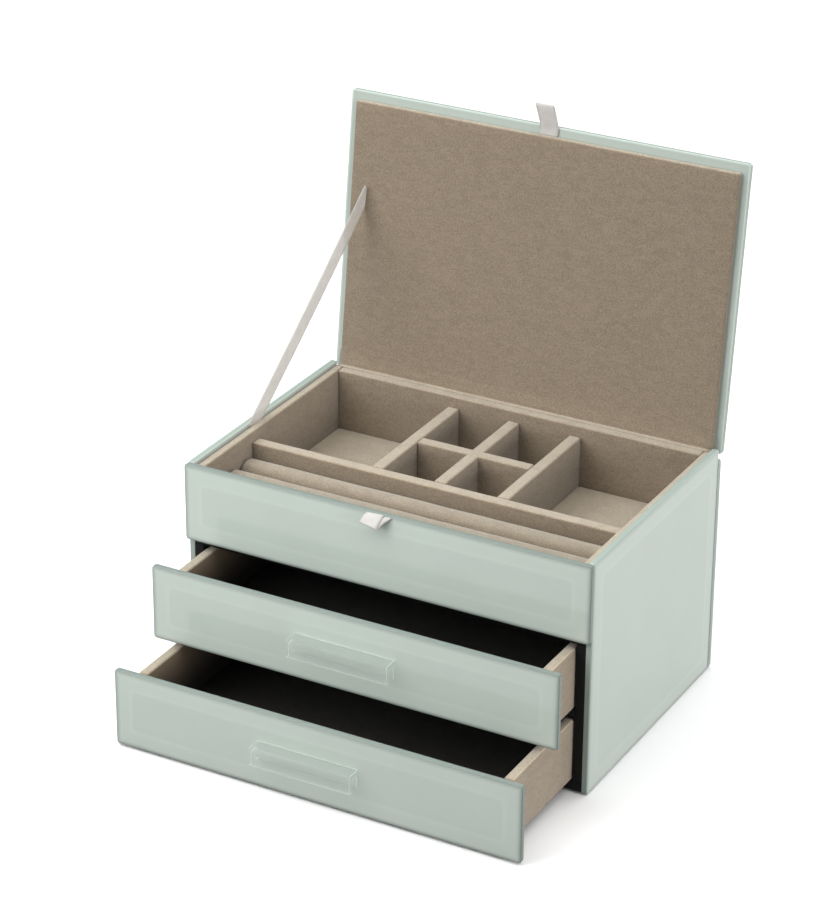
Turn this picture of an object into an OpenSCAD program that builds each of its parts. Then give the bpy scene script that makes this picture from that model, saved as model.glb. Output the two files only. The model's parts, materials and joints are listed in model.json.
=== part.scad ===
// Jewellery chest with two drawers: back-painted glass panels on card-covered
// boards, a suede-lined top tray under a glass lid, clear acrylic handles.
// Millimetres. X to the right, Y to the back, Z up. The origin is the centre of
// the case's underside. It is drawn with the lid open on its stay ribbon and
// both drawers part open.

/* [Case] */
// Width over the side glasses
case_w = 270; // [250:1:300]
// Depth from the top front glass to the back glass
case_d = 180; // [172:1:200]
// Height of the side glasses' top edge
case_h = 152; // [150:1:165]
// Thickness of every glass panel
glass_t = 4; // [3:0.5:5]
// Corner radius of the glass panels
glass_corner = 2; // [1:0.5:4]
// Thickness of the card-covered boards
board_t = 6; // [5:0.5:7]
// Thickness of the felt sheet under the case
felt_t = 1.5; // [1:0.5:2]
// How far the back glass stops below the side glasses
back_drop = 8; // [7:0.5:12]

/* [Top tray] */
// How far the tray's rim lies below the side glasses
rim_drop = 2.8; // [2:0.2:4]
// Thickness of the tray's side walls
tray_side_t = 5.4; // [5:0.2:8]
// Thickness of the tray's front wall
tray_front_t = 5.4; // [5:0.1:9]
// Thickness of the tray's back wall
tray_back_t = 8; // [6:0.1:9]
// Thickness of the padded tray floor
tray_floor_t = 4.4; // [3:0.2:6]
// Thickness of the suede-covered dividers
divider_t = 8; // [5:0.5:8]
// How far the dividers' tops lie below the rim
divider_drop = 7; // [4:0.5:12]
// Spacing of the small cells across the tray
cell_pitch = 42.3; // [36:0.1:48]
// Depth of the ring roll section, front to back
ring_section_d = 53.3; // [44:0.1:56]
// How far the ring rolls' tops lie below the rim
roll_drop = 14.1; // [10:0.1:18]

/* [Lid] */
// Width of the lid glass
lid_w = 269; // [250:1:299]
// Length of the lid glass, back to front
lid_l = 181; // [173:1:202]
// Gap between the side glasses and the closed lid
lid_gap = 1.5; // [1.5:0.1:2.5]
// Angle that the lid stands open on its stay ribbon
lid_open = 97; // [92:1:104]
// Thickness of the suede-covered lid pad
pad_t = 3.8; // [3:0.1:3.8]
// Width of the stay ribbon where it leaves the tray
stay_w = 16; // [10:1:18]
// Width of the ribbon tabs
tab_w = 12; // [10:1:18]

/* [Drawers] */
// How far the upper drawer is pulled out
upper_pull = 38; // [0:1:120]
// How far the lower drawer is pulled out
lower_pull = 81; // [0:1:120]
// Height of the drawer boxes
box_h = 40; // [32:1:40]
// Thickness of the drawer boxes' sides and back
box_t = 6.2; // [5:0.2:7]
// Thickness of the drawer boxes' floors
box_floor_t = 3; // [2:0.5:5]

/* [Handles] */
// Length of a handle
handle_l = 67; // [50:1:90]
// Height of a handle
handle_h = 12; // [10:0.5:14]
// Depth of a handle
handle_d = 10.5; // [10:0.5:16]
// How far the handles sit left of the middle
handle_shift = 3; // [0:0.5:6]

/* [Hidden] */
$fn = 48;

// Fits
run_gap = 0.5;        // under each drawer box
side_gap = 0.7;       // beside each drawer box
front_gap = 0.6;      // between the three glass fronts
front_lift = 1.4;     // lower glass front above the resting plane
lower_extra = 0.8;    // lower glass front taller than a third of the front
glass_lift = 0.5;     // outer glasses above the resting plane
felt_inset = 3;       // felt's edge in from the base board's

// Widths and depths
half_w = case_w / 2;
half_d = case_d / 2;
inner_half_w = half_w - glass_t;
inner_half_d = half_d - glass_t;
bay_half_w = inner_half_w - board_t;
bay_back = inner_half_d - board_t;

// Levels
tier_h = (case_h - front_lift) / 3;
base_top = felt_t + board_t;
shelf_t = 5;
shelf_z = front_lift + tier_h - 1.5;
tray_shelf_z = front_lift + 2 * tier_h - 3.2;
tray_z = tray_shelf_z + board_t;
rim_z = case_h - rim_drop;
floor_top = tray_z + tray_floor_t;
divider_top = rim_z - divider_drop;

// Tray, inside its walls
tray_half_w = inner_half_w - tray_side_t;
tray_front = -inner_half_d + tray_front_t;
tray_back = inner_half_d - tray_back_t;
long_divider_y = tray_front + ring_section_d;
cells_front = long_divider_y + divider_t;
cells_d = tray_back - cells_front;
cross_share = 0.474;
cross_divider_y = cells_front + cross_share * cells_d;
halving_gap = 0.2;

// Ring rolls
roll_gap = 0.4;
roll_w = (ring_section_d - 2 * roll_gap) / 3;
roll_half_l = tray_half_w - 0.5;
roll_top = rim_z - roll_drop;

// Lid, drawn closed and then turned about the cloth hinge's crease
lid_z = case_h + lid_gap;
lid_back = half_d;
lid_front = lid_back - lid_l;
pivot_y = half_d - 3;
pivot_z = rim_z + 0.4;
pad_side_margin = 5;
pad_back_margin = 3.3;
pad_front_margin = 5.8;
pad_corner = 1.7;
ribbon_t = 0.5;
tab_reach = 13;
tab_tuck = 6;

// Hinge cloth, along the back of the tray
cloth_half_l = tray_half_w - 0.5;
cloth_reach = 4.2;
cloth_low = case_h - back_drop + 0.4;
cloth_high = rim_z - 0.2;

// Stay ribbon: where it leaves the rim and where it enters the lid pad
stay_x = -inner_half_w + 4;
stay_front_y = -25;
stay_low_l = 107;
stay_high_l = 128;
stay_clear = 0.3;

// Front tab, looped over the top front glass
tray_tab_w = 16;
tray_tab_top = 0.5;
tray_tab_out = 9;
tray_tab_sag = 4;

// Drawers, drawn closed and then pulled out
lower_front_z = front_lift;
upper_front_z = front_lift + tier_h + lower_extra;
lower_front_h = tier_h + lower_extra - front_gap;
upper_front_h = tier_h - lower_extra - front_gap;
lower_box_z = base_top + run_gap;
upper_box_z = shelf_z + shelf_t + run_gap;
box_half_w = bay_half_w - side_gap;
box_front = -inner_half_d;
box_side_front = box_front + board_t;
box_back = bay_back - 3;

// Handle section
handle_back_t = 2.3;
handle_lip_t = 3.2;
handle_web_t = 3.8;
handle_round = 1.2;

// Colours
glass_colour = [0.73, 0.79, 0.75];
suede_colour = [0.70, 0.65, 0.57];
board_colour = [0.09, 0.09, 0.10];
felt_colour = [0.12, 0.12, 0.13];
ribbon_colour = [0.88, 0.87, 0.84];
acrylic_colour = [0.85, 0.90, 0.88];

// ---- shapes that repeat ----

// A box from its low and high corners
module block(low, high) {
    translate(low) cube(high - low);
}

// A flat rectangle with rounded corners, from its low and high corners
module rounded_rect(low, high, r) {
    size = high - low;
    translate(low + [r, 0]) square([size[0] - 2 * r, size[1]]);
    translate(low + [0, r]) square([size[0], size[1] - 2 * r]);
    for (x = [low[0] + r, high[0] - r])
        for (z = [low[1] + r, high[1] - r])
            translate([x, z]) circle(r);
}

// An upright glass panel facing the front: X and Z corners, front face at y
module front_panel(low, high, y) {
    color(glass_colour)
        translate([0, y + glass_t, 0])
            rotate([90, 0, 0])
                linear_extrude(glass_t) rounded_rect(low, high, glass_corner);
}

// An upright glass panel facing the side, from the back of the front glass
module side_panel(x) {
    color(glass_colour)
        translate([x, 0, 0])
            rotate([90, 0, 90])
                linear_extrude(glass_t)
                    rounded_rect([-inner_half_d, glass_lift], [inner_half_d, case_h], glass_corner);
}

// A card-covered board
module board(low, high) {
    color(board_colour) block(low, high);
}

// A suede-covered board
module lined(low, high) {
    color(suede_colour) block(low, high);
}

// A divider that runs front to back between the long divider and the back wall
module cell_divider(x) {
    lined([x - divider_t / 2, cells_front, floor_top], [x + divider_t / 2, tray_back, divider_top]);
}

// A suede ring roll, round on top and straight down to the floor
module ring_roll(y) {
    r = roll_w / 2;
    color(suede_colour)
        translate([-roll_half_l, y, 0])
            rotate([90, 0, 90])
                linear_extrude(2 * roll_half_l) {
                    translate([0, roll_top - r]) circle(r);
                    translate([-r, floor_top]) square([roll_w, roll_top - r - floor_top]);
                }
}

// A section in the YZ plane, drawn out along X
module strip(half_l, section) {
    translate([-half_l, 0, 0])
        rotate([90, 0, 90])
            linear_extrude(2 * half_l) polygon(section);
}

// Turns what is drawn closed about the hinge crease to the open lid
module opened_lid() {
    translate([0, pivot_y, pivot_z])
        rotate([-lid_open, 0, 0])
            translate([0, -pivot_y, -pivot_z]) children();
}

// ---- case ----

module base_felt() {
    color(felt_colour)
        block([-inner_half_w + felt_inset, -inner_half_d + felt_inset, 0],
              [inner_half_w - felt_inset, inner_half_d - felt_inset, felt_t]);
}

module base_board() {
    board([-inner_half_w, -inner_half_d, felt_t], [inner_half_w, inner_half_d, base_top]);
}

module left_side_board() {
    board([-inner_half_w, -inner_half_d, base_top], [-bay_half_w, bay_back, tray_shelf_z]);
}

module right_side_board() {
    board([bay_half_w, -inner_half_d, base_top], [inner_half_w, bay_back, tray_shelf_z]);
}

module back_board() {
    board([-inner_half_w, bay_back, base_top], [inner_half_w, inner_half_d, tray_shelf_z]);
}

module drawer_shelf() {
    board([-bay_half_w, -inner_half_d, shelf_z], [bay_half_w, bay_back, shelf_z + shelf_t]);
}

module tray_shelf() {
    board([-inner_half_w, -inner_half_d, tray_shelf_z], [inner_half_w, inner_half_d, tray_z]);
}

module left_glass() {
    side_panel(-half_w);
}

module right_glass() {
    side_panel(inner_half_w);
}

module back_glass() {
    front_panel([-half_w, glass_lift], [half_w, case_h - back_drop], inner_half_d);
}

module front_glass() {
    front_panel([-half_w, front_lift + 2 * tier_h], [half_w, case_h], -half_d);
}

// ---- tray ----

module tray_front_wall() {
    lined([-tray_half_w, -inner_half_d, tray_z], [tray_half_w, tray_front, rim_z]);
}

module tray_back_wall() {
    lined([-tray_half_w, tray_back, tray_z], [tray_half_w, inner_half_d, rim_z]);
}

module tray_left_wall() {
    lined([-inner_half_w, -inner_half_d, tray_z], [-tray_half_w, inner_half_d, rim_z]);
}

module tray_right_wall() {
    lined([tray_half_w, -inner_half_d, tray_z], [inner_half_w, inner_half_d, rim_z]);
}

module tray_floor() {
    lined([-tray_half_w, tray_front, tray_z], [tray_half_w, tray_back, floor_top]);
}

module long_divider() {
    lined([-tray_half_w, long_divider_y, floor_top], [tray_half_w, cells_front, divider_top]);
}

module left_divider() {
    cell_divider(-cell_pitch);
}

// Halved from the top, where the cross divider drops over it
module middle_divider() {
    half_z = (floor_top + divider_top) / 2;
    difference() {
        cell_divider(0);
        block([-divider_t, cross_divider_y - divider_t / 2 - halving_gap, half_z],
              [divider_t, cross_divider_y + divider_t / 2 + halving_gap, divider_top + 1]);
    }
}

module right_divider() {
    cell_divider(cell_pitch);
}

// Halved from below, to drop over the middle divider
module cross_divider() {
    half_z = (floor_top + divider_top) / 2;
    reach = cell_pitch - divider_t / 2;
    difference() {
        lined([-reach, cross_divider_y - divider_t / 2, floor_top],
              [reach, cross_divider_y + divider_t / 2, divider_top]);
        block([-divider_t / 2 - halving_gap, cross_divider_y - divider_t, floor_top - 1],
              [divider_t / 2 + halving_gap, cross_divider_y + divider_t, half_z]);
    }
}

module front_ring_roll() {
    ring_roll(tray_front + roll_w / 2);
}

module middle_ring_roll() {
    ring_roll(tray_front + ring_section_d / 2);
}

module back_ring_roll() {
    ring_roll(long_divider_y - roll_w / 2);
}

// Ribbon over the top front glass, sagging outward
module tray_tab() {
    top = case_h + tray_tab_top;
    low = case_h - tray_tab_sag;
    color(ribbon_colour)
        strip(tray_tab_w / 2, [
            [-inner_half_d, case_h], [-half_d, case_h],
            [-half_d - tray_tab_out + ribbon_t, low], [-half_d - tray_tab_out, low + ribbon_t],
            [-half_d - ribbon_t, top], [-inner_half_d, top]
        ]);
}

// ---- lid ----

module lid_glass() {
    color(glass_colour)
        opened_lid()
            translate([0, 0, lid_z])
                linear_extrude(glass_t)
                    rounded_rect([-lid_w / 2, lid_front], [lid_w / 2, lid_back], glass_corner);
}

module lid_pad() {
    half = lid_w / 2 - pad_side_margin;
    color(suede_colour)
        opened_lid()
            translate([0, 0, lid_z - pad_t])
                linear_extrude(pad_t)
                    rounded_rect([-half, lid_front + pad_front_margin],
                                 [half, lid_back - pad_back_margin], pad_corner);
}

// Ribbon between the lid glass and the pad's front edge
module lid_tab() {
    color(ribbon_colour)
        opened_lid()
            block([-tab_w / 2, lid_front - tab_reach, lid_z - ribbon_t],
                  [tab_w / 2, lid_front + tab_tuck - 0.4, lid_z]);
}

// Suede strip that joins the tray's back wall to the lid pad
module hinge_cloth() {
    y = inner_half_d;
    color(suede_colour)
        strip(cloth_half_l, [
            [y, cloth_low], [y + ribbon_t, cloth_low],
            [y + ribbon_t, cloth_high - ribbon_t], [y + cloth_reach, cloth_high - ribbon_t],
            [y + cloth_reach, cloth_high], [y, cloth_high]
        ]);
}

// A point on the open lid pad's face, l from the lid's back edge and clear of the pad
function pad_point(l) =
    let (dy = lid_back - l - pivot_y, dz = lid_z - pad_t - stay_clear - pivot_z)
    [pivot_y + dy * cos(lid_open) + dz * sin(lid_open),
     pivot_z - dy * sin(lid_open) + dz * cos(lid_open)];

// Flat ribbon that stops the lid, from the left rim up to the pad
module stay_ribbon() {
    color(ribbon_colour)
        translate([stay_x, 0, 0])
            strip(ribbon_t / 2, [
                [stay_front_y, rim_z], [stay_front_y + stay_w, rim_z],
                pad_point(stay_low_l), pad_point(stay_high_l)
            ]);
}

// ---- drawers, each drawn closed ----

module drawer_glass(z, h) {
    front_panel([-half_w, z], [half_w, z + h], -half_d);
}

module drawer_front_board(z) {
    board([-box_half_w, box_front, z], [box_half_w, box_side_front, z + box_h]);
}

module drawer_left_side(z) {
    lined([-box_half_w, box_side_front, z], [-box_half_w + box_t, box_back, z + box_h]);
}

module drawer_right_side(z) {
    lined([box_half_w - box_t, box_side_front, z], [box_half_w, box_back, z + box_h]);
}

module drawer_back(z) {
    lined([-box_half_w + box_t, box_back - box_t, z], [box_half_w - box_t, box_back, z + box_h]);
}

module drawer_floor(z) {
    lined([-box_half_w + box_t, box_side_front, z],
          [box_half_w - box_t, box_back - box_t, z + box_floor_t]);
}

// Clear bar with a finger groove cut up into its underside
module drawer_handle(z, h) {
    out = -half_d - handle_d;
    low = z + (h - handle_h) / 2;
    groove_front = out + handle_lip_t;
    groove_back = -half_d - handle_back_t;
    color(acrylic_colour)
        difference() {
            translate([-handle_l / 2 - handle_shift, 0, 0])
                rotate([90, 0, 90])
                    linear_extrude(handle_l) {
                        translate([out + handle_round, low])
                            square([handle_d - handle_round, handle_h]);
                        translate([out, low + handle_round])
                            square([handle_d, handle_h - 2 * handle_round]);
                        for (s = [low + handle_round, low + handle_h - handle_round])
                            translate([out + handle_round, s]) circle(handle_round);
                    }
            block([-handle_l - handle_shift, groove_front, low - 1],
                  [handle_l - handle_shift, groove_back, low + handle_h - handle_web_t]);
        }
}

module upper() {
    translate([0, -upper_pull, 0]) children();
}

module lower() {
    translate([0, -lower_pull, 0]) children();
}

module upper_drawer_glass() { upper() drawer_glass(upper_front_z, upper_front_h); }
module upper_drawer_front_board() { upper() drawer_front_board(upper_box_z); }
module upper_drawer_left_side() { upper() drawer_left_side(upper_box_z); }
module upper_drawer_right_side() { upper() drawer_right_side(upper_box_z); }
module upper_drawer_back() { upper() drawer_back(upper_box_z); }
module upper_drawer_floor() { upper() drawer_floor(upper_box_z); }
module upper_drawer_handle() { upper() drawer_handle(upper_front_z, upper_front_h); }

module lower_drawer_glass() { lower() drawer_glass(lower_front_z, lower_front_h); }
module lower_drawer_front_board() { lower() drawer_front_board(lower_box_z); }
module lower_drawer_left_side() { lower() drawer_left_side(lower_box_z); }
module lower_drawer_right_side() { lower() drawer_right_side(lower_box_z); }
module lower_drawer_back() { lower() drawer_back(lower_box_z); }
module lower_drawer_floor() { lower() drawer_floor(lower_box_z); }
module lower_drawer_handle() { lower() drawer_handle(lower_front_z, lower_front_h); }

base_felt();
base_board();
left_side_board();
right_side_board();
back_board();
drawer_shelf();
tray_shelf();
left_glass();
right_glass();
back_glass();
front_glass();
tray_front_wall();
tray_back_wall();
tray_left_wall();
tray_right_wall();
tray_floor();
long_divider();
left_divider();
middle_divider();
right_divider();
cross_divider();
front_ring_roll();
middle_ring_roll();
back_ring_roll();
tray_tab();
lid_glass();
lid_pad();
lid_tab();
hinge_cloth();
stay_ribbon();
upper_drawer_glass();
upper_drawer_front_board();
upper_drawer_left_side();
upper_drawer_right_side();
upper_drawer_back();
upper_drawer_floor();
upper_drawer_handle();
lower_drawer_glass();
lower_drawer_front_board();
lower_drawer_left_side();
lower_drawer_right_side();
lower_drawer_back();
lower_drawer_floor();
lower_drawer_handle();
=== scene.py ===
import json
import math

import bmesh
import bpy
from bpy.props import FloatProperty, FloatVectorProperty, PointerProperty
from mathutils import Matrix, Vector, noise


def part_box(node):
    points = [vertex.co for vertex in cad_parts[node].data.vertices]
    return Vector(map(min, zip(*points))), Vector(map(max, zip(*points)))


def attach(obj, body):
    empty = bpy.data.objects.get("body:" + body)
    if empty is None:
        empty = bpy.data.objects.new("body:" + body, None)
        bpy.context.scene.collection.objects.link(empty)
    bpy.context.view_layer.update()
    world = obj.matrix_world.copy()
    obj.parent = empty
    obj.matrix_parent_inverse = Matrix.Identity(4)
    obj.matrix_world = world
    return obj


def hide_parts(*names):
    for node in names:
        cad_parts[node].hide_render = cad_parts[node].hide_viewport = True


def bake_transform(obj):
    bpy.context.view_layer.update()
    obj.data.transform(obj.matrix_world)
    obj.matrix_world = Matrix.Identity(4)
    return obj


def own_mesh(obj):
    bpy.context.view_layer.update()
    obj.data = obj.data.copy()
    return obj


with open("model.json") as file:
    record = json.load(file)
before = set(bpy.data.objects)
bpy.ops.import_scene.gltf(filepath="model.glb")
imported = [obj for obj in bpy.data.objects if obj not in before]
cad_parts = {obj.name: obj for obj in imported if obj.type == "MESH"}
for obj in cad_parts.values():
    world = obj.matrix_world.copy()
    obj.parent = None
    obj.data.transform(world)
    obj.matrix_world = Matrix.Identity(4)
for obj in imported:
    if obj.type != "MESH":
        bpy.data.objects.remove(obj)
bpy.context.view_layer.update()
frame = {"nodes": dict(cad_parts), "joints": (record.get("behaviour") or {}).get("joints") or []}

bl_info = {
    "name": "Jewellery chest with drawers",
    "version": (1, 0, 0),
    "blender": (4, 5, 0),
    "location": "View3D > Sidebar > Chest",
    "description": "Glass-panelled jewellery chest with a suede tray, ribbons and clear handles",
    "category": "Add Mesh",
}

MM = 0.001
ACROSS = Vector((1, 0, 0))
# A board has an edge where its faces turn by more than this many radians.
CREASE = 0.8
DRAWERS = ("upper_drawer", "lower_drawer")
LID_JOINT = next(j for j in frame["joints"] if j["name"] == "lid_hinge")
LID_PIVOT = Vector(LID_JOINT["pos_m"])
LID_ANGLE = math.radians(LID_JOINT["range_deg"][1])


def linear(hex_colour):
    """An sRGB hex colour as linear red, green and blue."""
    parts = [int(hex_colour[i : i + 2], 16) / 255 for i in (1, 3, 5)]
    return tuple(c / 12.92 if c <= 0.04045 else ((c + 0.055) / 1.055) ** 2.4 for c in parts)


def tint(label, about, hex_colour):
    """A colour property with its default given as sRGB hex."""
    return FloatVectorProperty(
        name=label,
        description=about,
        subtype="COLOR",
        size=3,
        min=0,
        max=1,
        default=linear(hex_colour),
    )


def length(label, about, millimetres):
    """A length property with its default given in millimetres."""
    return FloatProperty(
        name=label, description=about, unit="LENGTH", default=millimetres * MM, precision=5
    )


class ChestColours(bpy.types.PropertyGroup):
    paint: tint("Glass paint", "Pale paint on the back of the glass", "#CAD6CD")
    glass_edge: tint("Glass edge", "Green tone of the glass's own edges", "#808C86")
    backing: tint("Backing paint", "Grey paint behind the pale coat", "#AEB4B3")
    suede: tint("Suede", "Brushed suede cloth", "#93836D")
    suede_nap: tint("Suede nap", "Suede where the nap lies the other way", "#7F6F5A")
    lining: tint("Drawer lining", "Dark suede inside the drawers", "#1D1811")
    card: tint("Black card", "Black paper on the boards", "#0C0C0D")
    felt: tint("Felt", "Felt under the case", "#1A1A1B")
    ribbon: tint("Ribbon", "Satin ribbon", "#C7C4C0")
    acrylic: tint("Acrylic", "Clear acrylic of the handles", "#CCD6D0")
    floor: tint("Floor", "Pale studio floor", "#FAFAFA")


class ChestSizes(bpy.types.PropertyGroup):
    bevel_w: length("Bevel width", "Width of the glass panels' bevel", 11.5)
    bevel_drop: length("Bevel drop", "How far the bevel falls to the edge", 0.35)
    glass_corner: length("Glass corner", "Corner radius of the glass panels", 2.0)
    suede_round: length("Suede edge", "Edge radius of suede-covered boards", 1.3)
    card_round: length("Card edge", "Edge radius of paper-covered boards", 0.5)
    suede_wander: length("Suede wander", "Unevenness of the glued suede", 0.12)
    handle_round: length("Handle edge", "Edge radius of the handles", 0.8)
    ribbon_t: length("Ribbon thickness", "Thickness of the ribbon", 0.35)
    stay_w: length("Stay width", "Width of the stay ribbon", 11.5)


def settings():
    """The colours and the sizes that a user can change."""
    return bpy.context.scene.chest_colours, bpy.context.scene.chest_sizes


# ---- materials ----


# The part of a noise texture's range in which it mostly lies.
SPREAD = {"From Min": 0.3, "From Max": 0.7}


def add(tree, kind, inputs=None, out=0, **options):
    """Adds one shader node with its settings and links, and gives one of its outputs."""
    made = tree.nodes.new("ShaderNode" + kind)
    for key, value in options.items():
        setattr(made, key, value)
    for key, value in (inputs or {}).items():
        if isinstance(value, bpy.types.NodeSocket):
            tree.links.new(value, made.inputs[key])
        else:
            made.inputs[key].default_value = value
    return made.outputs[out] if made.outputs else None


def new_material(name):
    """An empty node material and its tree, or the one made before and None."""
    known = bpy.data.materials.get(name)
    if known:
        return known, None
    material = bpy.data.materials.new(name)
    material.use_nodes = True
    material.node_tree.nodes.clear()
    return material, material.node_tree


def shaded(colour, factor):
    """A colour made lighter or darker by a factor."""
    return [c * factor for c in colour]


def opaque(colour, factor=1.0):
    """A colour times a factor, with the alpha that colour sockets take."""
    return (*shaded(colour, factor), 1.0)


def painted_glass():
    """Float glass, ground and polished with a wide bevel and painted on the back.

    It reads as a smooth pale colour under a clear hard gloss, greener
    and darker at the arris, where one looks along the glass."""
    colours, _ = settings()
    material, tree = new_material("back-painted float glass")
    if tree is None:
        return material
    place = add(tree, "TexCoord", out="Object")
    cloud = add(tree, "TexNoise", {"Vector": place, "Scale": 1 / (45 * MM), "Detail": 3.0}, "Fac")
    share = add(tree, "MapRange", {"Value": cloud, "From Min": 0.35, "From Max": 0.65})
    pale, deep = opaque(colours.paint), opaque(colours.paint, 0.975)
    paint = add(tree, "Mix", {0: share, 6: pale, 7: deep}, 2, data_type="RGBA")
    rim = add(tree, "Attribute", out="Fac", attribute_name="rim", attribute_type="GEOMETRY")
    edge = opaque(colours.glass_edge)
    body = add(tree, "Mix", {0: rim, 6: paint, 7: edge}, 2, data_type="RGBA")
    # Painted light and shade from the mesh's tone: lines near the bevel for the light that it
    # bends, paler edges on some panels, a darker lid front and back.
    tone = add(tree, "Attribute", out="Fac", attribute_name="tone", attribute_type="GEOMETRY")
    painted_shading_mix = {0: 1.0, 6: body, 7: tone}
    body = add(tree, "Mix", painted_shading_mix, 2, data_type="RGBA", blend_type="MULTIPLY")
    smear = {"Vector": place, "Scale": 1 / (18 * MM), "Detail": 4.0, "Roughness": 0.6}
    smear = add(tree, "TexNoise", smear, "Fac")
    gloss = {"Value": smear, "From Min": 0.3, "From Max": 0.75, "To Min": 0.05, "To Max": 0.11}
    wave = add(tree, "TexNoise", {"Vector": place, "Scale": 1 / (60 * MM), "Detail": 1.0}, "Fac")
    shader = {
        "Base Color": body,
        "Roughness": add(tree, "MapRange", gloss),
        "IOR": 1.52,
        "Specular IOR Level": 0.3,
        "Normal": add(tree, "Bump", {"Height": wave, "Strength": 0.15, "Distance": 0.4 * MM}),
    }
    add(tree, "OutputMaterial", {"Surface": add(tree, "BsdfPrincipled", shader)})
    return material


def backing_paint():
    """The second coat on the back of the glass, rolled on: matt, a little uneven."""
    colours, _ = settings()
    material, tree = new_material("rolled backing paint")
    if tree is None:
        return material
    place = add(tree, "TexCoord", out="Object")
    rolled = add(tree, "TexNoise", {"Vector": place, "Scale": 1 / (2 * MM), "Detail": 3.0}, "Fac")
    share = add(tree, "MapRange", {"Value": rolled, **SPREAD})
    coats = {0: share, 6: opaque(colours.backing), 7: opaque(colours.backing, 0.92)}
    matt = {"Value": rolled, **SPREAD, "To Min": 0.55, "To Max": 0.7}
    shader = {
        "Base Color": add(tree, "Mix", coats, 2, data_type="RGBA"),
        "Roughness": add(tree, "MapRange", matt),
        "Normal": add(tree, "Bump", {"Height": rolled, "Strength": 0.2, "Distance": 0.1 * MM}),
    }
    add(tree, "OutputMaterial", {"Surface": add(tree, "BsdfPrincipled", shader)})
    return material


# Painted light: how much paler and less warm suede that faces up is drawn, for the top light and
# sheen that fall on it.
UP_PAINTED_LIGHT = (1.5, 1.63, 1.76, 1.0)


def suede_cloth(name, main, nap, sheen=0.4):
    """Microfibre suede glued over board or foam: brushed, short pile.

    The pile gives a soft sheen at grazing angles, fine speckle, and broad
    patches where the nap was stroked the other way."""
    material, tree = new_material(name)
    if tree is None:
        return material
    place = add(tree, "TexCoord", out="Object")
    # Pile is about 0.2 mm across: drawn at 0.9 mm so that it shows.
    pile = {"Vector": place, "Scale": 1 / (0.9 * MM), "Detail": 3.0, "Roughness": 0.7}
    pile = add(tree, "TexNoise", pile, "Fac")
    squeezed = add(tree, "Mapping", {"Vector": place, "Scale": (1.0, 1.0, 2.2)})
    strokes = {"Vector": squeezed, "Scale": 1 / (9 * MM), "Detail": 4.0, "Roughness": 0.65}
    strokes = add(tree, "TexNoise", {**strokes, "Distortion": 0.6}, "Fac")
    speckle = add(tree, "MapRange", {"Value": pile, **SPREAD, "To Min": -1.0})
    patches = {"Value": strokes, **SPREAD, "To Min": 0.15, "To Max": 0.85}
    patches = add(tree, "MapRange", patches)
    amount = add(tree, "Math", {0: speckle, 1: patches}, operation="ADD")
    colour = add(tree, "Mix", {0: amount, 6: opaque(main), 7: opaque(nap)}, 2, data_type="RGBA")
    # Painted light: faces that point up take the paler colour.
    facing = add(tree, "TexCoord", out="Normal")
    up = add(tree, "SeparateXYZ", {"Vector": facing}, "Z")
    up = add(tree, "MapRange", {"Value": up, "From Min": 0.3, "From Max": 0.95})
    lit = {0: up, 6: colour, 7: UP_PAINTED_LIGHT}
    dull = {"Value": strokes, **SPREAD, "To Min": 0.88, "To Max": 0.98}
    shader = {
        "Base Color": add(tree, "Mix", lit, 2, data_type="RGBA", blend_type="MULTIPLY"),
        "Roughness": add(tree, "MapRange", dull),
        "Specular IOR Level": 0.3,
        "Sheen Weight": sheen,
        "Sheen Roughness": 0.65,
        "Sheen Tint": opaque(linear("#E2EAF0")),
        "Normal": add(tree, "Bump", {"Height": pile, "Strength": 0.5, "Distance": 0.3 * MM}),
    }
    add(tree, "OutputMaterial", {"Surface": add(tree, "BsdfPrincipled", shader)})
    return material


def suede(name="brushed suede cloth", factor=1.0):
    """The tray's cloth, or one made paler or darker by a factor."""
    colours, _ = settings()
    return suede_cloth(name, shaded(colours.suede, factor), shaded(colours.suede_nap, factor))


def painted_light_suede():
    """The same cloth drawn paler for the drawers' outer sides: painted light, where those sides
    face the side light.
    """
    return suede("suede cloth with painted light", 1.55)


def dark_suede():
    """The drawers' dark lining. Where the attribute "top" is high, paler suede shows over it."""
    colours, _ = settings()
    material = suede_cloth("dark suede lining", colours.lining, shaded(colours.lining, 0.6), 0.06)
    tree = material.node_tree
    # Painted shade: below a side's rim the paler suede fades into the dark lining, for the shade
    # deeper in the drawer.
    if "top" not in tree.nodes:
        base = next(n for n in tree.nodes if n.type == "BSDF_PRINCIPLED").inputs["Base Color"]
        dark = base.links[0].from_socket
        named = {"name": "top", "attribute_name": "top", "attribute_type": "GEOMETRY"}
        top = add(tree, "Attribute", out="Fac", **named)
        shade_faded = {0: top, 6: dark, 7: opaque(colours.suede_nap)}
        tree.links.new(add(tree, "Mix", shade_faded, 2, data_type="RGBA"), base)
    return material


def black_card():
    """Pressed-fibre board wrapped in dyed black paper: matt, with a faint fibre grain."""
    colours, _ = settings()
    material, tree = new_material("black paper on board")
    if tree is None:
        return material
    place = add(tree, "TexCoord", out="Object")
    fibre = {"Vector": place, "Scale": 1 / (1.5 * MM), "Detail": 4.0, "Roughness": 0.6}
    fibre = add(tree, "TexNoise", fibre, "Fac")
    share = add(tree, "MapRange", {"Value": fibre, **SPREAD})
    dyes = {0: share, 6: opaque(colours.card), 7: opaque(colours.card, 1.5)}
    matt = {"Value": fibre, **SPREAD, "To Min": 0.7, "To Max": 0.85}
    shader = {
        "Base Color": add(tree, "Mix", dyes, 2, data_type="RGBA"),
        "Roughness": add(tree, "MapRange", matt),
        "Specular IOR Level": 0.2,
        "Normal": add(tree, "Bump", {"Height": fibre, "Strength": 0.2, "Distance": 0.1 * MM}),
    }
    add(tree, "OutputMaterial", {"Surface": add(tree, "BsdfPrincipled", shader)})
    return material


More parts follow.
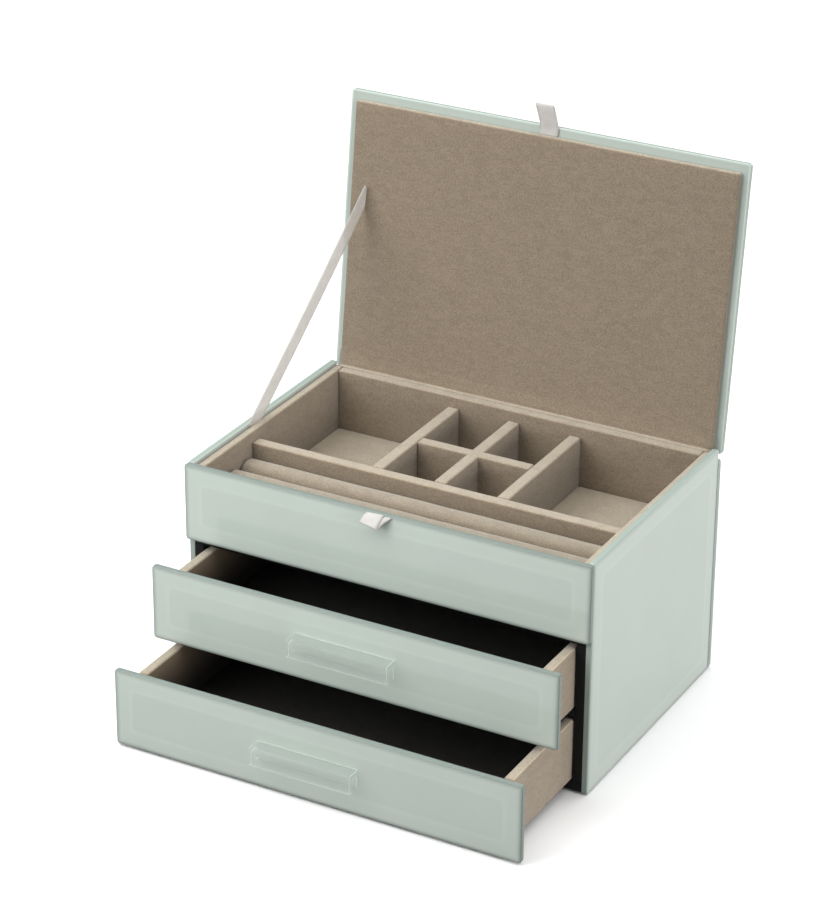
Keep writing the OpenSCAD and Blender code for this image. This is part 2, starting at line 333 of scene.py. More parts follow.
def pressed_felt():
    """Thin needled felt: dull, with matted fibres."""
    colours, _ = settings()
    material, tree = new_material("pressed felt")
    if tree is None:
        return material
    place = add(tree, "TexCoord", out="Object")
    fibre = {"Vector": place, "Scale": 1 / (1.2 * MM), "Detail": 5.0, "Roughness": 0.75}
    fibre = add(tree, "TexNoise", {**fibre, "Distortion": 1.0}, "Fac")
    share = add(tree, "MapRange", {"Value": fibre, **SPREAD})
    dyes = {0: share, 6: opaque(colours.felt), 7: opaque(colours.felt, 2.0)}
    shader = {
        "Base Color": add(tree, "Mix", dyes, 2, data_type="RGBA"),
        "Roughness": 0.95,
        "Sheen Weight": 0.2,
        "Normal": add(tree, "Bump", {"Height": fibre, "Strength": 0.5, "Distance": 0.3 * MM}),
    }
    add(tree, "OutputMaterial", {"Surface": add(tree, "BsdfPrincipled", shader)})
    return material


# A wave texture of scale 1 has its bands this far apart.
WAVE_PITCH = 2 * math.pi / 20
# The ribs of real satin are about 0.3 mm apart: drawn at 0.8 mm so that they show.
RIB_PITCH = 0.8 * MM


def satin_ribbon(name="double-faced satin ribbon", alpha=1.0, painted_lighten=1.0):
    """Polyester satin: fine cross ribs and a soft gloss. A sheer one lets light through."""
    colours, _ = settings()
    material, tree = new_material(name)
    if tree is None:
        return material
    along = add(tree, "UVMap", uv_map="ribbon")
    ribs = {"Vector": along, "Scale": WAVE_PITCH / RIB_PITCH, "Distortion": 0.6, "Detail": 1.0}
    ribs = add(tree, "TexWave", ribs, "Fac", bands_direction="Y")
    crumple = {"Vector": along, "Scale": 1 / (6 * MM), "Detail": 3.0}
    share = {"Value": add(tree, "TexNoise", crumple, "Fac"), **SPREAD}
    # A factor above 1 draws the ribbon paler: painted light.
    pale = shaded(colours.ribbon, painted_lighten)
    shades = {0: add(tree, "MapRange", share), 6: opaque(pale), 7: opaque(pale, 0.88)}
    shader = {
        "Base Color": add(tree, "Mix", shades, 2, data_type="RGBA"),
        "Roughness": add(tree, "MapRange", {"Value": ribs, "To Min": 0.42, "To Max": 0.55}),
        "Specular IOR Level": 0.3,
        "Alpha": alpha,
        "Normal": add(tree, "Bump", {"Height": ribs, "Strength": 0.25, "Distance": 0.08 * MM}),
    }
    add(tree, "OutputMaterial", {"Surface": add(tree, "BsdfPrincipled", shader)})
    return material


def clear_acrylic(name, alpha, glow=0.0):
    """Polished clear acrylic: mostly see-through, with a hard gloss.

    Its edges shine with the light that runs inside it, which glow stands for."""
    colours, _ = settings()
    material, tree = new_material(name)
    if tree is None:
        return material
    place = add(tree, "TexCoord", out="Object")
    haze = {"Vector": place, "Scale": 1 / (3 * MM), "Detail": 5.0, "Roughness": 0.7}
    haze = add(tree, "TexNoise", haze, "Fac")
    share = add(tree, "MapRange", {"Value": haze, **SPREAD})
    tints = {0: share, 6: opaque(colours.acrylic), 7: opaque(colours.acrylic, 0.96)}
    gloss = {"Value": haze, "From Min": 0.4, "From Max": 0.8, "To Min": 0.05, "To Max": 0.12}
    shader = {
        "Base Color": add(tree, "Mix", tints, 2, data_type="RGBA"),
        "Roughness": add(tree, "MapRange", gloss),
        "IOR": 1.49,
        "Alpha": alpha,
        "Emission Color": opaque(linear("#F2F6F4")),
        "Emission Strength": glow,
    }
    add(tree, "OutputMaterial", {"Surface": add(tree, "BsdfPrincipled", shader)})
    return material


def studio_floor():
    """Matt white background paper with a faint tooth."""
    colours, _ = settings()
    material, tree = new_material("white background paper")
    if tree is None:
        return material
    place = add(tree, "TexCoord", out="Object")
    tooth = add(tree, "TexNoise", {"Vector": place, "Scale": 1 / (4 * MM)}, "Fac")
    share = add(tree, "MapRange", {"Value": tooth, **SPREAD})
    whites = {0: share, 6: opaque(colours.floor), 7: opaque(colours.floor, 0.995)}
    colour = add(tree, "Mix", whites, 2, data_type="RGBA")
    shader = add(tree, "BsdfPrincipled", {"Base Color": colour, "Roughness": 0.9})
    add(tree, "OutputMaterial", {"Surface": shader})
    return material


# ---- meshes ----


def make_object(name, bm, materials):
    """An object at the origin from a bmesh, which is freed."""
    mesh = bpy.data.meshes.new(name)
    bm.to_mesh(mesh)
    bm.free()
    for material in materials:
        mesh.materials.append(material)
    made = bpy.data.objects.new(name, mesh)
    bpy.context.scene.collection.objects.link(made)
    return made


def place_piece(made, body, slot, *nodes):
    """Rides a piece on its body and hides the CAD nodes that it stands for. slot is not used."""
    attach(made, body)
    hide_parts(*nodes)


def opened(point):
    """A point of the closed lid, turned to the open lid of the rest pose."""
    return LID_PIVOT + Matrix.Rotation(-LID_ANGLE, 3, "X") @ (Vector(point) - LID_PIVOT)


def closed_box(node):
    """(lowest corner, highest corner) of a lid node with the lid closed."""
    turn = Matrix.Rotation(LID_ANGLE, 3, "X")
    corners = [LID_PIVOT + turn @ (v.co - LID_PIVOT) for v in frame["nodes"][node].data.vertices]
    low = Vector([min(c[i] for c in corners) for i in range(3)])
    high = Vector([max(c[i] for c in corners) for i in range(3)])
    return low, high


def sharp_edges(bm):
    """Edges where the surface turns by more than CREASE."""
    return [e for e in bm.edges if len(e.link_faces) == 2 and e.calc_face_angle() > CREASE]


# How far apart the swells of an uneven cover are.
WANDER_SIZE = 22 * MM


def covered_board(low, high, radius, wander=0.0, step=9 * MM, seed=0.0):
    """A board with rounded edges, cut into small faces so that its cover can wander a little.

    seed moves the wandering, so that no two boards are alike."""
    bm = bmesh.new()
    bmesh.ops.create_cube(bm, size=1.0)
    size = high - low
    middle = (low + high) / 2
    for v in bm.verts:
        v.co = middle + Vector([v.co[i] * size[i] for i in range(3)])
    for axis in range(3):
        cuts = max(1, round(size[axis] / step))
        normal = Vector([float(i == axis) for i in range(3)])
        for k in range(1, cuts):
            at = middle.copy()
            at[axis] = low[axis] + size[axis] * k / cuts
            bmesh.ops.bisect_plane(
                bm, geom=bm.verts[:] + bm.edges[:] + bm.faces[:], plane_co=at, plane_no=normal
            )
    bmesh.ops.bevel(
        bm,
        geom=sharp_edges(bm),
        offset=min(radius, min(size) * 0.45),
        segments=4,
        profile=0.5,
        affect="EDGES",
        clamp_overlap=True,
    )
    shift = Vector((seed * 3.1, seed * 1.7, seed * 2.3))
    for v in bm.verts:
        v.co += noise.noise_vector(v.co / WANDER_SIZE + shift) * wander
    for f in bm.faces:
        f.smooth = True
    return bm


def rounded_outline(low, high, inset, radius, steps=4):
    """Points round a rectangle inset by a distance, with rounded corners, anticlockwise."""
    r = max(radius - inset, 0.3 * inset, 0.15 * MM)
    x0, y0 = low[0] + inset, low[1] + inset
    x1, y1 = high[0] - inset, high[1] - inset
    centres = (
        (x1 - r, y1 - r, 0),
        (x0 + r, y1 - r, 90),
        (x0 + r, y0 + r, 180),
        (x1 - r, y0 + r, 270),
    )
    points = []
    for cx, cy, start in centres:
        for k in range(steps + 1):
            a = math.radians(start + 90 * k / steps)
            points.append((cx + r * math.cos(a), cy + r * math.sin(a)))
    return points


def bevelled_panel(low, high, thick, to_world, edge_highlight=1.0, face_shade=1.0):
    """A glass panel with a polished arris and a wide shallow bevel on its front.

    low and high are its outline's corners, its front face is at height thick,
    and to_world takes (across, up, height) to a point of the scene. Its last two
    arguments make its edges and its front lighter or darker: painted light and shade."""
    _, sizes = settings()
    drop, wide = sizes.bevel_drop, sizes.bevel_w
    edge = thick - drop
    # Painted light and shade: tone draws lines near the bevel for the light that it bends, and
    # darkens the back.
    # (inset, height, how much the edge's own colour shows, tone, smooth strip below)
    rings = (
        (1.6 * MM, 0.0, 0.0, 0.8, False),
        (0.45 * MM, 0.0, 0.2, 1.1, False),
        (0.12 * MM, 0.14 * MM, 0.6, 1.0, True),
        (0.0, 0.45 * MM, 1.0, 1.0, True),
        (0.0, edge - 0.7 * MM, 1.0, 1.0, False),
        (0.2 * MM, edge - 0.22 * MM, 1.0, 0.95, True),
        (0.7 * MM, edge, 0.6, 0.9, True),
        (2.2 * MM, edge + drop * 0.15, 0.0, 0.91, True),
        (3.6 * MM, edge + drop * 0.28, 0.0, 1.02, True),
        (wide - 2.6 * MM, thick - drop * 0.22, 0.0, 1.03, True),
        (wide - 0.4 * MM, thick - drop * 0.03, 0.0, 1.06, True),
        (wide + 1.4 * MM, thick, 0.0, 1.0, True),
    )
    bm = bmesh.new()
    rim_layer = bm.verts.layers.float.new("rim")
    painted_shading_layer = bm.verts.layers.float.new("tone")
    loops = []
    for inset, height, rim, tone, _ in rings:
        loop = []
        for x, y in rounded_outline(low, high, inset, sizes.glass_corner):
            v = bm.verts.new(to_world(x, y, height))
            v[rim_layer] = rim
            # Painted shade darkens the lid's front, and painted light pales some panels' edges.
            face = face_shade if height > edge else 1.0
            v[painted_shading_layer] = tone * (1 + (edge_highlight - 1) * rim) * face
            loop.append(v)
        loops.append(loop)
    count = len(loops[0])
    for i, (below, above) in enumerate(zip(loops, loops[1:])):
        for k in range(count):
            j = (k + 1) % count
            bm.faces.new((below[k], below[j], above[j], above[k])).smooth = rings[i + 1][4]
    bm.faces.new(loops[-1])
    bm.faces.new(list(reversed(loops[0]))).material_index = 1
    bmesh.ops.recalc_face_normals(bm, faces=bm.faces)
    return bm


def smooth_path(points, steps):
    """A Catmull-Rom curve through points, steps to each stretch."""
    padded = [points[0] * 2 - points[1], *points, points[-1] * 2 - points[-2]]
    curve = []
    for a, b, c, d in zip(padded, padded[1:], padded[2:], padded[3:]):
        for k in range(steps):
            t = k / steps
            bend = (2 * a - 5 * b + 4 * c - d) * t * t + (3 * b - a - 3 * c + d) * t**3
            curve.append(0.5 * ((2 * b) + (c - a) * t + bend))
    curve.append(points[-1])
    return curve


def ribbon_strip(centres, sides, width, thick, across_steps=6, cup=0.0):
    """A ribbon along centres, and its length. sides are unit vectors across it.

    It carries a UV map in metres, and cup makes its cross-section arch."""
    bm = bmesh.new()
    uv = bm.loops.layers.uv.new("ribbon")
    rows, run = [], [0.0]
    for a, b in zip(centres, centres[1:]):
        run.append(run[-1] + (b - a).length)
    for i, (centre, side) in enumerate(zip(centres, sides)):
        ahead = centres[min(i + 1, len(centres) - 1)] - centres[max(i - 1, 0)]
        normal = side.cross(ahead).normalized()
        row = []
        for level in (0.5, -0.5):
            line = []
            for k in range(across_steps + 1):
                u = k / across_steps - 0.5
                height = level * thick + cup * (0.25 - u * u)
                line.append(bm.verts.new(centre + side * (u * width) + normal * height))
            row.append(line)
        rows.append(row)

    def quad(spots):
        """One face from four spots, each a row, a level and a place across."""
        face = bm.faces.new([rows[r][level][k] for r, level, k in spots])
        face.smooth = True
        for loop, (r, _, k) in zip(face.loops, spots):
            loop[uv].uv = (k / across_steps * width, run[r])

    for i in range(len(rows) - 1):
        j = i + 1
        for level in (0, 1):
            for k in range(across_steps):
                quad([(i, level, k), (i, level, k + 1), (j, level, k + 1), (j, level, k)])
        for k in (0, across_steps):
            quad([(i, 0, k), (j, 0, k), (j, 1, k), (i, 1, k)])
    for i in (0, len(rows) - 1):
        for k in range(across_steps):
            quad([(i, 0, k), (i, 0, k + 1), (i, 1, k + 1), (i, 1, k)])
    bmesh.ops.recalc_face_normals(bm, faces=bm.faces)
    return bm, run[-1]


def fillet(points, radii, steps=4):
    """A closed outline with each corner rounded by its own radius."""
    rounded = []
    count = len(points)
    for i, (corner, r) in enumerate(zip(points, radii)):
        before = (points[i - 1] - corner).normalized()
        after = (points[(i + 1) % count] - corner).normalized()
        half = before.angle(after) / 2
        reach = r / math.tan(half)
        centre = corner + (before + after).normalized() * (r / math.sin(half))
        start, end = corner + before * reach - centre, corner + after * reach - centre
        for k in range(steps + 1):
            t = k / steps
            rounded.append(centre + start.slerp(end, t) * r)
    return rounded


# ---- operators ----


class ChestOperator:
    """What all of the chest's operators share"""

    bl_options = {"REGISTER", "UNDO"}


class CHEST_OT_glass_panels(ChestOperator, bpy.types.Operator):
    """Bevelled, back-painted glass on the case, the lid and both drawers"""

    bl_idname = "chest.glass_panels"
    bl_label = "Glass panels"

    # The back of a drawer's glass is this far in front of the case's boards when shut.
    SHUT_GAP = 0.2 * MM
    # Painted light: panels whose edges are drawn paler than those of the front glasses.
    EDGE_HIGHLIGHTS = {"lid_glass": 1.6, "left_glass": 1.6, "right_glass": 1.6, "back_glass": 1.6}
    # Painted shade: the lid's front is drawn a little darker, so that it isn't too bright under the
    # top light when shut.
    LID_FACE_SHADE = 0.86

    def panel(self, name, body, low, high, thick, to_world):
        # The lid's pale coat shows from inside, round the pad.
        back = painted_glass() if body == "lid" else backing_paint()
        edge_highlight = self.EDGE_HIGHLIGHTS.get(name, 1.0)
        face_shade = self.LID_FACE_SHADE if body == "lid" else 1.0
        bm = bevelled_panel(low, high, thick, to_world, edge_highlight, face_shade)
        made = make_object(name + "_bevelled", bm, [painted_glass(), back])
        place_piece(made, body, "back_painted_glass", name)

    def execute(self, context):
        for name, body in (
            ("front_glass", "case"),
            ("upper_drawer_glass", "upper_drawer"),
            ("lower_drawer_glass", "lower_drawer"),
        ):
            lo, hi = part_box(name)
            if body != "case":
                hi.y -= self.SHUT_GAP
            self.panel(
                name,
                body,
                (lo.x, lo.z),
                (hi.x, hi.z),
                hi.y - lo.y,
                lambda x, z, h, back=hi.y: (x, back - h, z),
            )
        lo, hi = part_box("back_glass")
        self.panel(
            "back_glass",
            "case",
            (lo.x, lo.z),
            (hi.x, hi.z),
            hi.y - lo.y,
            lambda x, z, h, inner=lo.y: (x, inner + h, z),
        )
        for name, inner, way in (
            ("left_glass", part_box("left_glass")[1].x, -1),
            ("right_glass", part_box("right_glass")[0].x, 1),
        ):
            lo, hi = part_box(name)
            self.panel(
                name,
                "case",
                (lo.y, lo.z),
                (hi.y, hi.z),
                hi.x - lo.x,
                lambda y, z, h, inner=inner, way=way: (inner + way * h, y, z),
            )
        lo, hi = closed_box("lid_glass")
        self.panel(
            "lid_glass",
            "lid",
            (lo.x, lo.y),
            (hi.x, hi.y),
            hi.z - lo.z,
            lambda x, y, h, under=lo.z: opened((x, y, under + h)),
        )
        return {"FINISHED"}


class CHEST_OT_carcass(ChestOperator, bpy.types.Operator):
    """Black paper-covered boards of the case, and the felt under it"""

    bl_idname = "chest.carcass"
    bl_label = "Carcass boards"

    BOARDS = (
        "base_board",
        "left_side_board",
        "right_side_board",
        "back_board",
        "drawer_shelf",
        "tray_shelf",
    )

    def execute(self, context):
        _, sizes = settings()
        for i, name in enumerate(self.BOARDS):
            bm = covered_board(*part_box(name), sizes.card_round, step=60 * MM, seed=i)
            made = make_object(name + "_papered", bm, [black_card()])
            place_piece(made, "case", "black_card", name)
        bm = covered_board(*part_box("base_felt"), 0.4 * MM, wander=0.05 * MM, step=30 * MM)
        made = make_object("base_felt_sheet", bm, [pressed_felt()])
        place_piece(made, "case", "black_felt", "base_felt")
        return {"FINISHED"}


class CHEST_OT_tray(ChestOperator, bpy.types.Operator):
    """Suede-covered walls, floor and dividers of the top tray"""

    bl_idname = "chest.tray"
    bl_label = "Suede tray"

    BOARDS = (
        "tray_front_wall",
        "tray_back_wall",
        "tray_left_wall",
        "tray_right_wall",
        "tray_floor",
        "long_divider",
        "left_divider",
        "middle_divider",
        "right_divider",
        "cross_divider",
    )

    def execute(self, context):
        _, sizes = settings()
        for i, name in enumerate(self.BOARDS):
            bm = covered_board(*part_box(name), sizes.suede_round, sizes.suede_wander, seed=i + 1)
            place_piece(make_object(name + "_suede", bm, [suede()]), "case", "suede_board", name)
        return {"FINISHED"}


class CHEST_OT_ring_rolls(ChestOperator, bpy.types.Operator):
    """Three foam rolls wrapped in suede, across the front of the tray"""

    bl_idname = "chest.ring_rolls"
    bl_label = "Ring rolls"

    AROUND, ALONG = 40, 110
    END_ROUND = 3.6 * MM
    # The foam swells unevenly, by up to this much, in swells about this long.
    SWELL, SWELL_SIZE = 0.3 * MM, 26 * MM

    def roll(self, name, seed):
        lo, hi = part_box(name)
        half = (hi.y - lo.y) / 2
        middle = (lo.y + hi.y) / 2
        axis_z = hi.z - half
        bm = bmesh.new()
        rows = []
        for i in range(self.ALONG + 1):
            # Rows crowd towards the ends, where the roll rounds off.
            t = 0.5 - 0.5 * math.cos(math.pi * i / self.ALONG)
            x = lo.x + (hi.x - lo.x) * t
            near = max(0.0, 1 - min(x - lo.x, hi.x - x) / self.END_ROUND)
            shrink = self.END_ROUND * (1 - math.sqrt(max(0.0, 1 - near * near)))
            row = []
            for k in range(self.AROUND):
                a = 2 * math.pi * k / self.AROUND
                y, z = math.cos(a), math.sin(a)
                # Below its axis the roll has nearly upright sides, down to the tray's floor.
                if z < 0:
                    z *= (axis_z - lo.z) / half
                    y = math.copysign(min(1.0, abs(y) ** 0.25), y)
                at = Vector((x / self.SWELL_SIZE, math.cos(a) * 0.6, seed))
                swell = noise.noise(at) * self.SWELL
                reach = half - shrink + swell
                row.append(bm.verts.new((x, middle + y * reach, axis_z + z * reach)))
            rows.append(row)
        for a, b in zip(rows, rows[1:]):
            for k in range(self.AROUND):
                j = (k + 1) % self.AROUND
                bm.faces.new((a[k], a[j], b[j], b[k])).smooth = True
        for row in (rows[0], rows[-1]):
            bm.faces.new(row).smooth = False
        bmesh.ops.recalc_face_normals(bm, faces=bm.faces)
        # Painted shade: the rolls' suede is drawn darker than the tray's, for the top light on
        # their crowns.
        made = make_object(name + "_padded", bm, [suede("ring roll suede with painted shade", 0.78)])
        place_piece(made, "case", "suede", name)

    def execute(self, context):
        self.roll("front_ring_roll", 2.0)
        self.roll("middle_ring_roll", 7.0)
        self.roll("back_ring_roll", 12.0)
        return {"FINISHED"}


class CHEST_OT_lid_pad(ChestOperator, bpy.types.Operator):
    """Thin padded suede panel inside the lid"""

    bl_idname = "chest.lid_pad"
    bl_label = "Lid pad"

    def execute(self, context):
        _, sizes = settings()
        lo, hi = closed_box("lid_pad")
        bm = covered_board(lo, hi, sizes.suede_round * 1.2, sizes.suede_wander, seed=11)
        for v in bm.verts:
            v.co = opened(v.co)
        made = make_object("lid_pad_suede", bm, [suede()])
        place_piece(made, "lid", "suede_board", "lid_pad")
        return {"FINISHED"}


class CHEST_OT_hinge_cloth(ChestOperator, bpy.types.Operator):
    """Suede strip that joins the tray to the lid pad"""

    bl_idname = "chest.hinge_cloth"
    bl_label = "Hinge cloth"

    THICK = 0.45 * MM
    # Millimetres behind the back face and above the top of the tray's back wall.
    ON_RIM = ((-2.4, 0.0), (-0.8, 0.22), (0.5, 0.6))
    # Millimetres up the pad's face, where it is glued, and off that face.
    ON_PAD = ((1.8, 0.6), (4.2, 0.25), (7.5, -0.1), (9.5, -0.4))

    def execute(self, context):
        pad_low, pad_high = closed_box("lid_pad")
        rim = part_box("tray_back_wall")[1]
        path = smooth_path(
            [Vector((0, rim.y + back * MM, rim.z + up * MM)) for back, up in self.ON_RIM]
            + [opened((0, pad_high.y - up * MM, pad_low.z - off * MM)) for up, off in self.ON_PAD],
            5,
        )
        wide = pad_high.x - pad_low.x
        middle = Vector(((pad_low.x + pad_high.x) / 2, 0, 0))
        centres = [middle + p for p in path]
        bm, run = ribbon_strip(centres, [ACROSS] * len(centres), wide, self.THICK, 40)
        made = make_object("hinge_cloth_suede", bm, [suede()])
        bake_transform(made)
        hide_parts("hinge_cloth")
        return {"FINISHED"}


class CHEST_OT_stay_ribbon(ChestOperator, bpy.types.Operator):
    """Satin ribbon that stops the open lid, from the tray's left side to a slit in the lid pad"""

    bl_idname = "chest.stay_ribbon"
    bl_label = "Stay ribbon"

    STEPS = 46
    # The foot goes into the tray's wall this far from the left glass.
    FOOT_GAP, FOOT_Y = 0.4 * MM, -17 * MM
    # The slit is this far in from the pad's left side and from the lid's back edge.
    SLIT_IN, SLIT_UP = 11.5 * MM, 117.5 * MM
    # How far each end goes out of sight.
    FOOT_TUCK, SLIT_TUCK = 4 * MM, 2.5 * MM
    SAG, CUP = 1.2 * MM, 0.4 * MM

    def execute(self, context):
        _, sizes = settings()
        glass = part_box("left_glass")[1].x
        pad_low, _ = closed_box("lid_pad")
        lid_back = closed_box("lid_glass")[1].y
        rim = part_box("tray_left_wall")[1].z
        foot = Vector((glass + self.FOOT_GAP, self.FOOT_Y, rim))
        head = opened((pad_low.x + self.SLIT_IN, lid_back - self.SLIT_UP, pad_low.z))
        along = (head - foot).normalized()
        start, end = foot - along * self.FOOT_TUCK, head + along * self.SLIT_TUCK
        centres = []
        for i in range(self.STEPS + 1):
            t = i / self.STEPS
            sag = Vector((0, 0, -self.SAG)) * math.sin(math.pi * t)
            centres.append(start.lerp(end, t) + sag)
        sides = [ACROSS.cross(along).normalized()] * len(centres)
        bm, run = ribbon_strip(centres, sides, sizes.stay_w, sizes.ribbon_t, cup=self.CUP)
        # The stay's ribbon is drawn paler than the tabs': painted light, as it faces away from the
        # top light.
        made = make_object("stay_ribbon_satin", bm, [satin_ribbon("sheer satin ribbon", 0.66, 1.4)])
        place_piece(made, "case", "satin_ribbon", "stay_ribbon")
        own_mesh(made)
        return {"FINISHED"}


class CHEST_OT_ribbon_tabs(ChestOperator, bpy.types.Operator):
    """Folded ribbon loops: one on the lid's front edge, one over the top front glass"""

    bl_idname = "chest.ribbon_tabs"
    bl_label = "Ribbon tabs"

    # Where the lid's tab is, in millimetres right of the chest's middle.
    LID_MIDDLE = 2.5
    # Millimetres right of there, in from the shut lid's front edge and up from its underside.
    LID_TURNS = (
        (0.0, 6.0, -0.5),
        (0.3, 1.0, -0.5),
        (-1.5, -6.0, -0.6),
        (-3.4, -11.5, -0.5),
        (-3.9, -13.0, -1.2),
        (-3.4, -11.6, -2.0),
        (-1.5, -6.0, -1.7),
        (0.3, 1.0, -1.0),
        (0.0, 6.0, -0.9),
    )
    # Millimetres right of the chest's middle, back from the top front glass's face and up from
    # its top, and how much the ribbon's width leans.
    TRAY_TURNS = (
        (-4.3, 0.3, -0.8, 0.06),
        (-4.4, -0.8, -1.3, 0.04),
        (-4.9, -3.6, -3.0, -0.08),
        (-5.2, -6.1, -5.0, -0.18),
        (-5.2, -6.7, -5.7, -0.21),
        (-4.7, -6.0, -5.7, -0.19),
        (-2.8, -3.4, -3.7, -0.08),
        (0.2, -0.8, -1.9, 0.04),
        (0.7, 0.3, -1.4, 0.05),
    )
    TRAY_TAB_W = 11.5 * MM

    def tab(self, name, body, node, path, sides, width, rests_on):
        _, sizes = settings()
        bm, run = ribbon_strip(path, sides, width, sizes.ribbon_t)
        made = make_object(name, bm, [satin_ribbon()])
        place_piece(made, body, "satin_ribbon", node)

    def execute(self, context):
        lo, hi = closed_box("lid_tab")
        front = closed_box("lid_glass")[0].y
        points = [
            opened((self.LID_MIDDLE * MM + x * MM, front + y * MM, hi.z + z * MM))
            for x, y, z in self.LID_TURNS
        ]
        path = smooth_path(points, 6)
        sides, wide = [ACROSS] * len(path), hi.x - lo.x
        self.tab("lid_tab_satin", "lid", "lid_tab", path, sides, wide, ["lid_glass_bevelled"])

        glass_low, glass_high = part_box("front_glass")
        points = [
            Vector((x * MM, glass_low.y + y * MM, glass_high.z + z * MM, lean))
            for x, y, z, lean in self.TRAY_TURNS
        ]
        turned = smooth_path(points, 6)
        path = [point.to_3d() for point in turned]
        sides = [Vector((1, 0, point[3])).normalized() for point in turned]
        wide = self.TRAY_TAB_W
        self.tab("tray_tab_satin", "case", "tray_tab", path, sides, wide, ["front_glass_bevelled"])
        return {"FINISHED"}


class CHEST_OT_drawer_boxes(ChestOperator, bpy.types.Operator):
    """Suede-covered boxes of both drawers"""

    bl_idname = "chest.drawer_boxes"
    bl_label = "Drawer boxes"

    # Painted shade: the paler suede fades into the dark lining this far below a side's rim, for the
    # shade inside the drawer.
    SHADE_FADE_DEPTH = 26 * MM
    # Each board and the way its lined face looks.
    INWARD = {
        "front_board": Vector((0, 1, 0)),
        "left_side": Vector((1, 0, 0)),
        "right_side": Vector((-1, 0, 0)),
        "back": Vector((0, -1, 0)),
        "floor": Vector((0, 0, 1)),
    }

    def execute(self, context):
        _, sizes = settings()
        wander = sizes.suede_wander * 0.6
        for drawer in DRAWERS:
            for i, (part, inward) in enumerate(self.INWARD.items()):
                name = f"{drawer}_{part}"
                bm = covered_board(*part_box(name), sizes.suede_round, wander, seed=20 + i)
                made = make_object(name + "_suede", bm, [suede(), dark_suede(), painted_light_suede()])
                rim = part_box(name)[1].z
                # Painted shade: only near a side's rim does the paler suede show.
                shade_fade = made.data.attributes.new("top", "FLOAT", "POINT")
                is_side = part.endswith("side")
                for v in made.data.vertices:
                    near = 1 - (rim - v.co.z) / self.SHADE_FADE_DEPTH
                    shade_fade.data[v.index].value = is_side * max(0.0, min(1.0, near))
                for face in made.data.polygons:
                    facing = face.normal.dot(inward)
                    if facing > 0.5 and (part == "floor" or face.center.z < rim - MM):
                        face.material_index = 1
                    # Outer faces of the sides take the paler cloth: painted light.
                    elif is_side and facing < -0.5:
                        face.material_index = 2
                place_piece(made, drawer, "suede_board", name)
        return {"FINISHED"}


class CHEST_OT_handles(ChestOperator, bpy.types.Operator):
    """Clear acrylic bars with a finger groove underneath, one on each drawer"""

    bl_idname = "chest.handles"
    bl_label = "Handles"

    ARC_STEPS = 4
    # Thickness of the back, the lip and the bar over the groove.
    BACK_T, LIP_T, WEB_T = 2.6 * MM, 3.2 * MM, 3.8 * MM
    # The back reaches this far into the glass, as glue leaves no air between them.
    BOND = 0.3 * MM
    # Corners of the section whose arcs look like edges and take painted highlights: the lip's lower
    # and the back's upper.
    HIGHLIGHT_CORNERS = (0, 2)

    def execute(self, context):
        _, sizes = settings()
        r = sizes.handle_round
        for drawer in DRAWERS:
            name = drawer + "_handle"
            lo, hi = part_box(name)
            hi.y += self.BOND
            ceiling = hi.z - self.WEB_T
            inner, lip = hi.y - self.BACK_T, lo.y + self.LIP_T
            # (y, z, radius)
            corners = [
                (lo.y, lo.z, 1.3 * r),
                (lo.y, hi.z, 2 * r),
                (hi.y, hi.z, 1.6 * MM),
                (hi.y, lo.z, 0.3 * MM),
                (inner, lo.z, 0.6 * MM),
                (inner, ceiling, 1.2 * MM),
                (lip, ceiling, 1.2 * MM),
                (lip, lo.z, r),
            ]
            points, radii = [Vector(c[:2]) for c in corners], [c[2] for c in corners]
            outline = fillet(points, radii, self.ARC_STEPS)
            bm = bmesh.new()
            ends = [[bm.verts.new((x, p.x, p.y)) for p in outline] for x in (lo.x, hi.x)]
            for k in range(len(outline)):
                j = (k + 1) % len(outline)
                face = bm.faces.new((ends[0][k], ends[0][j], ends[1][j], ends[1][k]))
                corner, step = divmod(k, self.ARC_STEPS + 1)
                face.material_index = int(step < self.ARC_STEPS and corner in self.HIGHLIGHT_CORNERS)
            caps = [bm.faces.new(ends[0]), bm.faces.new(list(reversed(ends[1])))]
            bmesh.ops.recalc_face_normals(bm, faces=bm.faces)
            # The caps' bevels take the edge material too: painted highlights.
            bmesh.ops.bevel(
                bm,
                geom=[e for f in caps for e in f.edges],
                offset=0.35 * MM,
                segments=3,
                profile=0.5,
                affect="EDGES",
                clamp_overlap=True,
                material=1,
            )
            for f in bm.faces:
                f.smooth = True
            # The edge arcs take a more solid copy that glows: painted highlight lines.
            body = clear_acrylic("polished clear acrylic", 0.09)
            edge = clear_acrylic("acrylic edge with painted highlight", 0.42, 0.36)
            made = make_object(name + "_polished", bm, [body, edge])
            made.data.set_sharp_from_angle(angle=math.radians(40))
            place_piece(made, drawer, "clear_acrylic", name)
        return {"FINISHED"}


